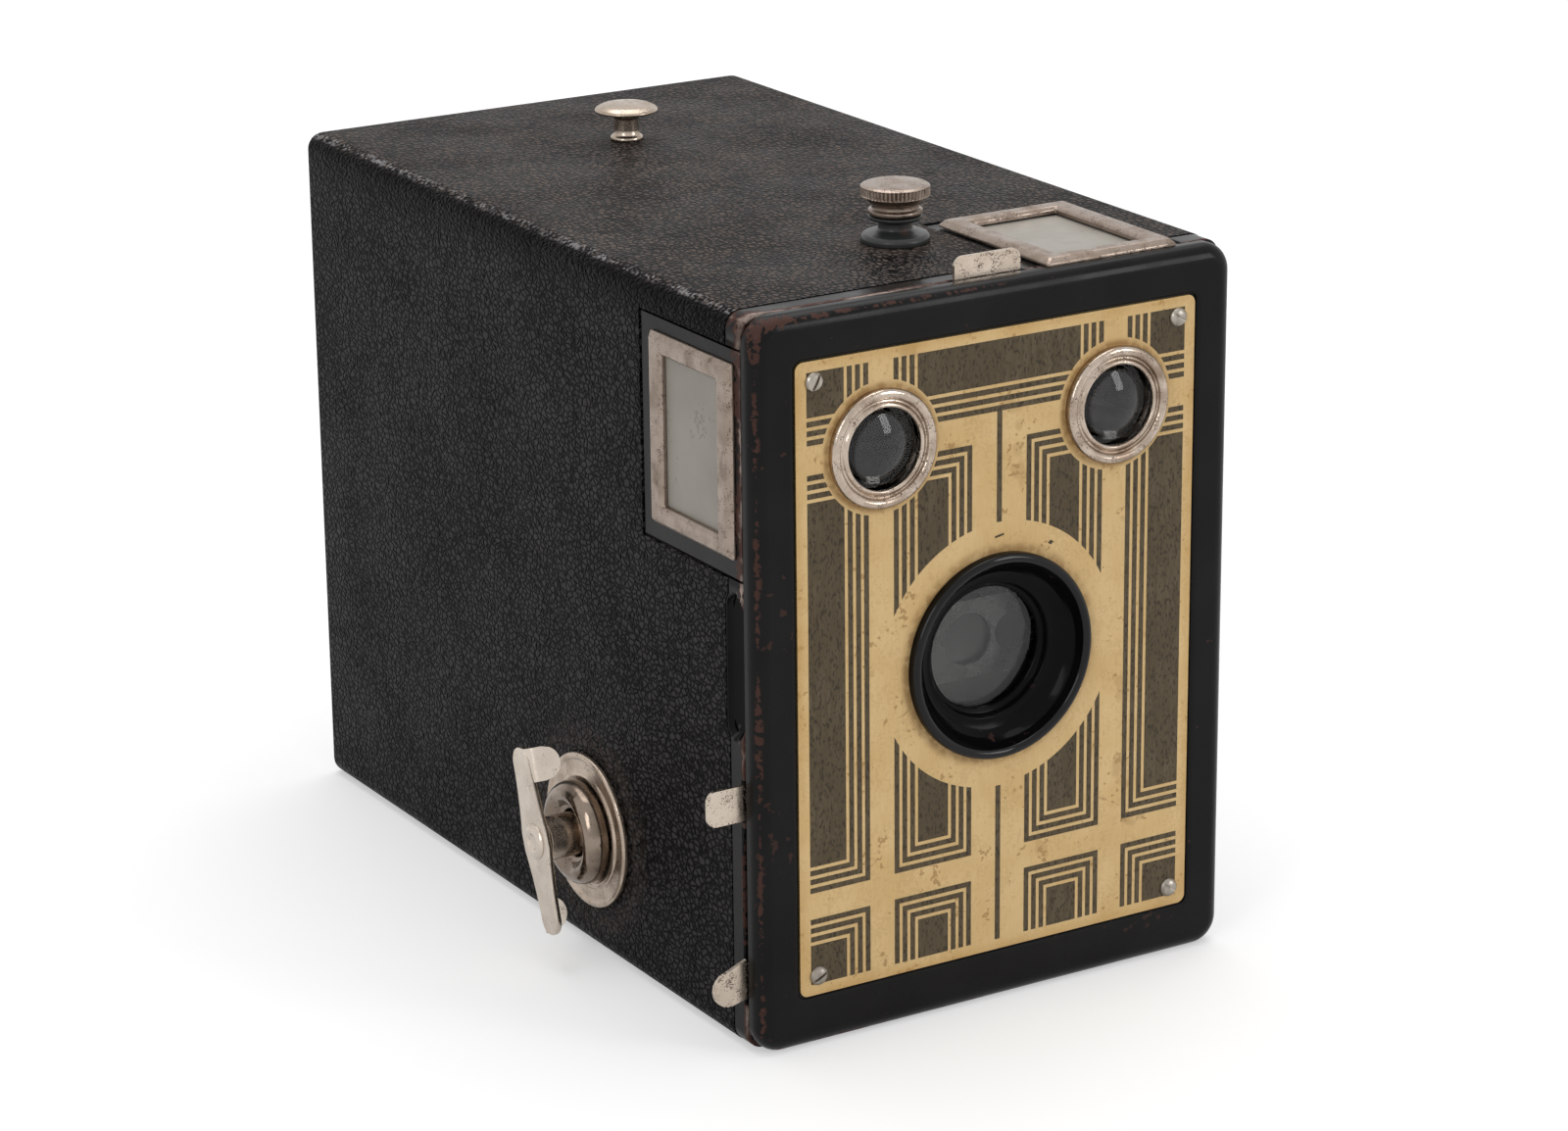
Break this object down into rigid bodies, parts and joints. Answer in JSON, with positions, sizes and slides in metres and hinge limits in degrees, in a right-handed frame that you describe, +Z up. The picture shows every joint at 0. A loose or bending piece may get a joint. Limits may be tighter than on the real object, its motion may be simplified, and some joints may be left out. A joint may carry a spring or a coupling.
{
  "type": "box camera",
  "caption": "Box-shaped roll-film camera with a striped face plate, two reflecting finders, a winged winding key and a front section that slides out of the covered body.",
  "frame": {"origin": "centre of the base, on the surface that the camera stands on", "axes": "+Z up, -Y out of the lens, +X to the right as seen from in front of the face plate, so the winding key is at -X"},
  "size_m": [0.0855, 0.1315, 0.1101],
  "materials": {
    "black_enamel": "gloss black enamel, worn to brown primer along the edges",
    "leatherette": "fine-grained black leatherette",
    "nickel": "tarnished nickel plate",
    "plain_steel": "plain steel",
    "plate_lacquer": "cream lacquer with dark brown stripes",
    "lens_glass": "polished",
    "ground_glass": "ground",
    "mirror_silver": "silvered",
    "blackened_steel": "flat black",
    "red_celluloid": "clear red sheet"
  },
  "bodies": {
    "root": {"body_shell": "black_enamel", "covering_wrap": "leatherette", "covering_back": "leatherette", "red_window_ring": "nickel", "red_window": "red_celluloid", "strap_post": "black_enamel", "strap_stud": "nickel", "clamp_nut": "plain_steel", "key_flange": "nickel", "key_bush": "nickel"},
    "clamp_knob": {"clamp_knob": "nickel"},
    "key_hub": {"key_hub": "nickel"},
    "winding_key": {"key_wing": "nickel", "key_shaft": "plain_steel"},
    "front_section": {"front_pan": "black_enamel", "face_plate": "plate_lacquer", "face_screw_1": "plain_steel", "face_screw_2": "plain_steel", "face_screw_3": "plain_steel", "face_screw_4": "plain_steel", "lens_hood": "black_enamel", "taking_lens": "lens_glass", "finder_bezel_side": "nickel", "finder_bezel_top": "nickel", "finder_lens_side": "lens_glass", "finder_lens_top": "lens_glass", "finder_box_side": "black_enamel", "finder_box_top": "black_enamel", "finder_glass_side": "ground_glass", "finder_glass_top": "ground_glass", "finder_frame_side": "nickel", "finder_frame_top": "nickel", "finder_mirror_side": "mirror_silver", "finder_mirror_top": "mirror_silver", "shutter_board": "blackened_steel", "disc_pivot": "plain_steel", "lever_pivot": "plain_steel", "lever_spring": "plain_steel", "lens_cone": "blackened_steel", "side_plate_left": "blackened_steel", "side_plate_right": "blackened_steel", "take_up_pin": "plain_steel", "supply_pin_left": "plain_steel", "supply_pin_right": "plain_steel", "film_spring_low": "plain_steel", "film_spring_high": "plain_steel"},
    "shutter_lever": {"shutter_lever": "nickel"},
    "shutter_disc": {"shutter_disc": "blackened_steel"},
    "stop_slide": {"stop_slide": "nickel"},
    "time_slide": {"time_slide": "nickel"},
    "take_up_spool": {"take_up_spool": "blackened_steel"},
    "film_roller_low": {"film_roller_low": "plain_steel"},
    "film_roller_high": {"film_roller_high": "plain_steel"}
  },
  "joints": [
    {"name": "front_slide", "type": "slide", "parent": "root", "child": "front_section", "axis": [0, -1, 0], "range_m": [0, 0.124]},
    {"name": "clamp_turn", "type": "hinge", "parent": "root", "child": "clamp_knob", "pos_m": [0, -0.0395, 0.106], "axis": [0, 0, 1], "range_deg": [0, 360]},
    {"name": "key_turn", "type": "hinge", "parent": "root", "child": "key_hub", "pos_m": [-0.04, -0.019, 0.018], "axis": [1, 0, 0], "continuous": true},
    {"name": "key_pull", "type": "slide", "parent": "key_hub", "child": "winding_key", "axis": [-1, 0, 0], "range_m": [0, 0.008]},
    {"name": "take_up_turn", "type": "hinge", "parent": "front_section", "child": "take_up_spool", "pos_m": [0, -0.019, 0.018], "axis": [1, 0, 0], "continuous": true},
    {"name": "lever_swing", "type": "hinge", "parent": "front_section", "child": "shutter_lever", "pos_m": [0.014, -0.06135, 0.02], "axis": [0, 1, 0], "range_deg": [0, 20]},
    {"name": "disc_turn", "type": "hinge", "parent": "front_section", "child": "shutter_disc", "pos_m": [0, -0.0558, 0.0365], "axis": [0, 1, 0], "range_deg": [-64, 0]},
    {"name": "stop_pull", "type": "slide", "parent": "front_section", "child": "stop_slide", "axis": [-1, 0, 0], "range_m": [0, 0.007]},
    {"name": "time_lift", "type": "slide", "parent": "front_section", "child": "time_slide", "axis": [0, 0, 1], "range_m": [0, 0.005]},
    {"name": "roller_low_turn", "type": "hinge", "parent": "front_section", "child": "film_roller_low", "pos_m": [0, 0.0528, 0.0068], "axis": [1, 0, 0], "continuous": true},
    {"name": "roller_high_turn", "type": "hinge", "parent": "front_section", "child": "film_roller_high", "pos_m": [0, 0.0528, 0.0942], "axis": [1, 0, 0], "continuous": true}
  ],
  "couplings": [
    {"joint": "take_up_turn", "follows": "key_turn", "ratio": 1},
    {"joint": "disc_turn", "follows": "lever_swing", "ratio": -3.2}
  ]
}
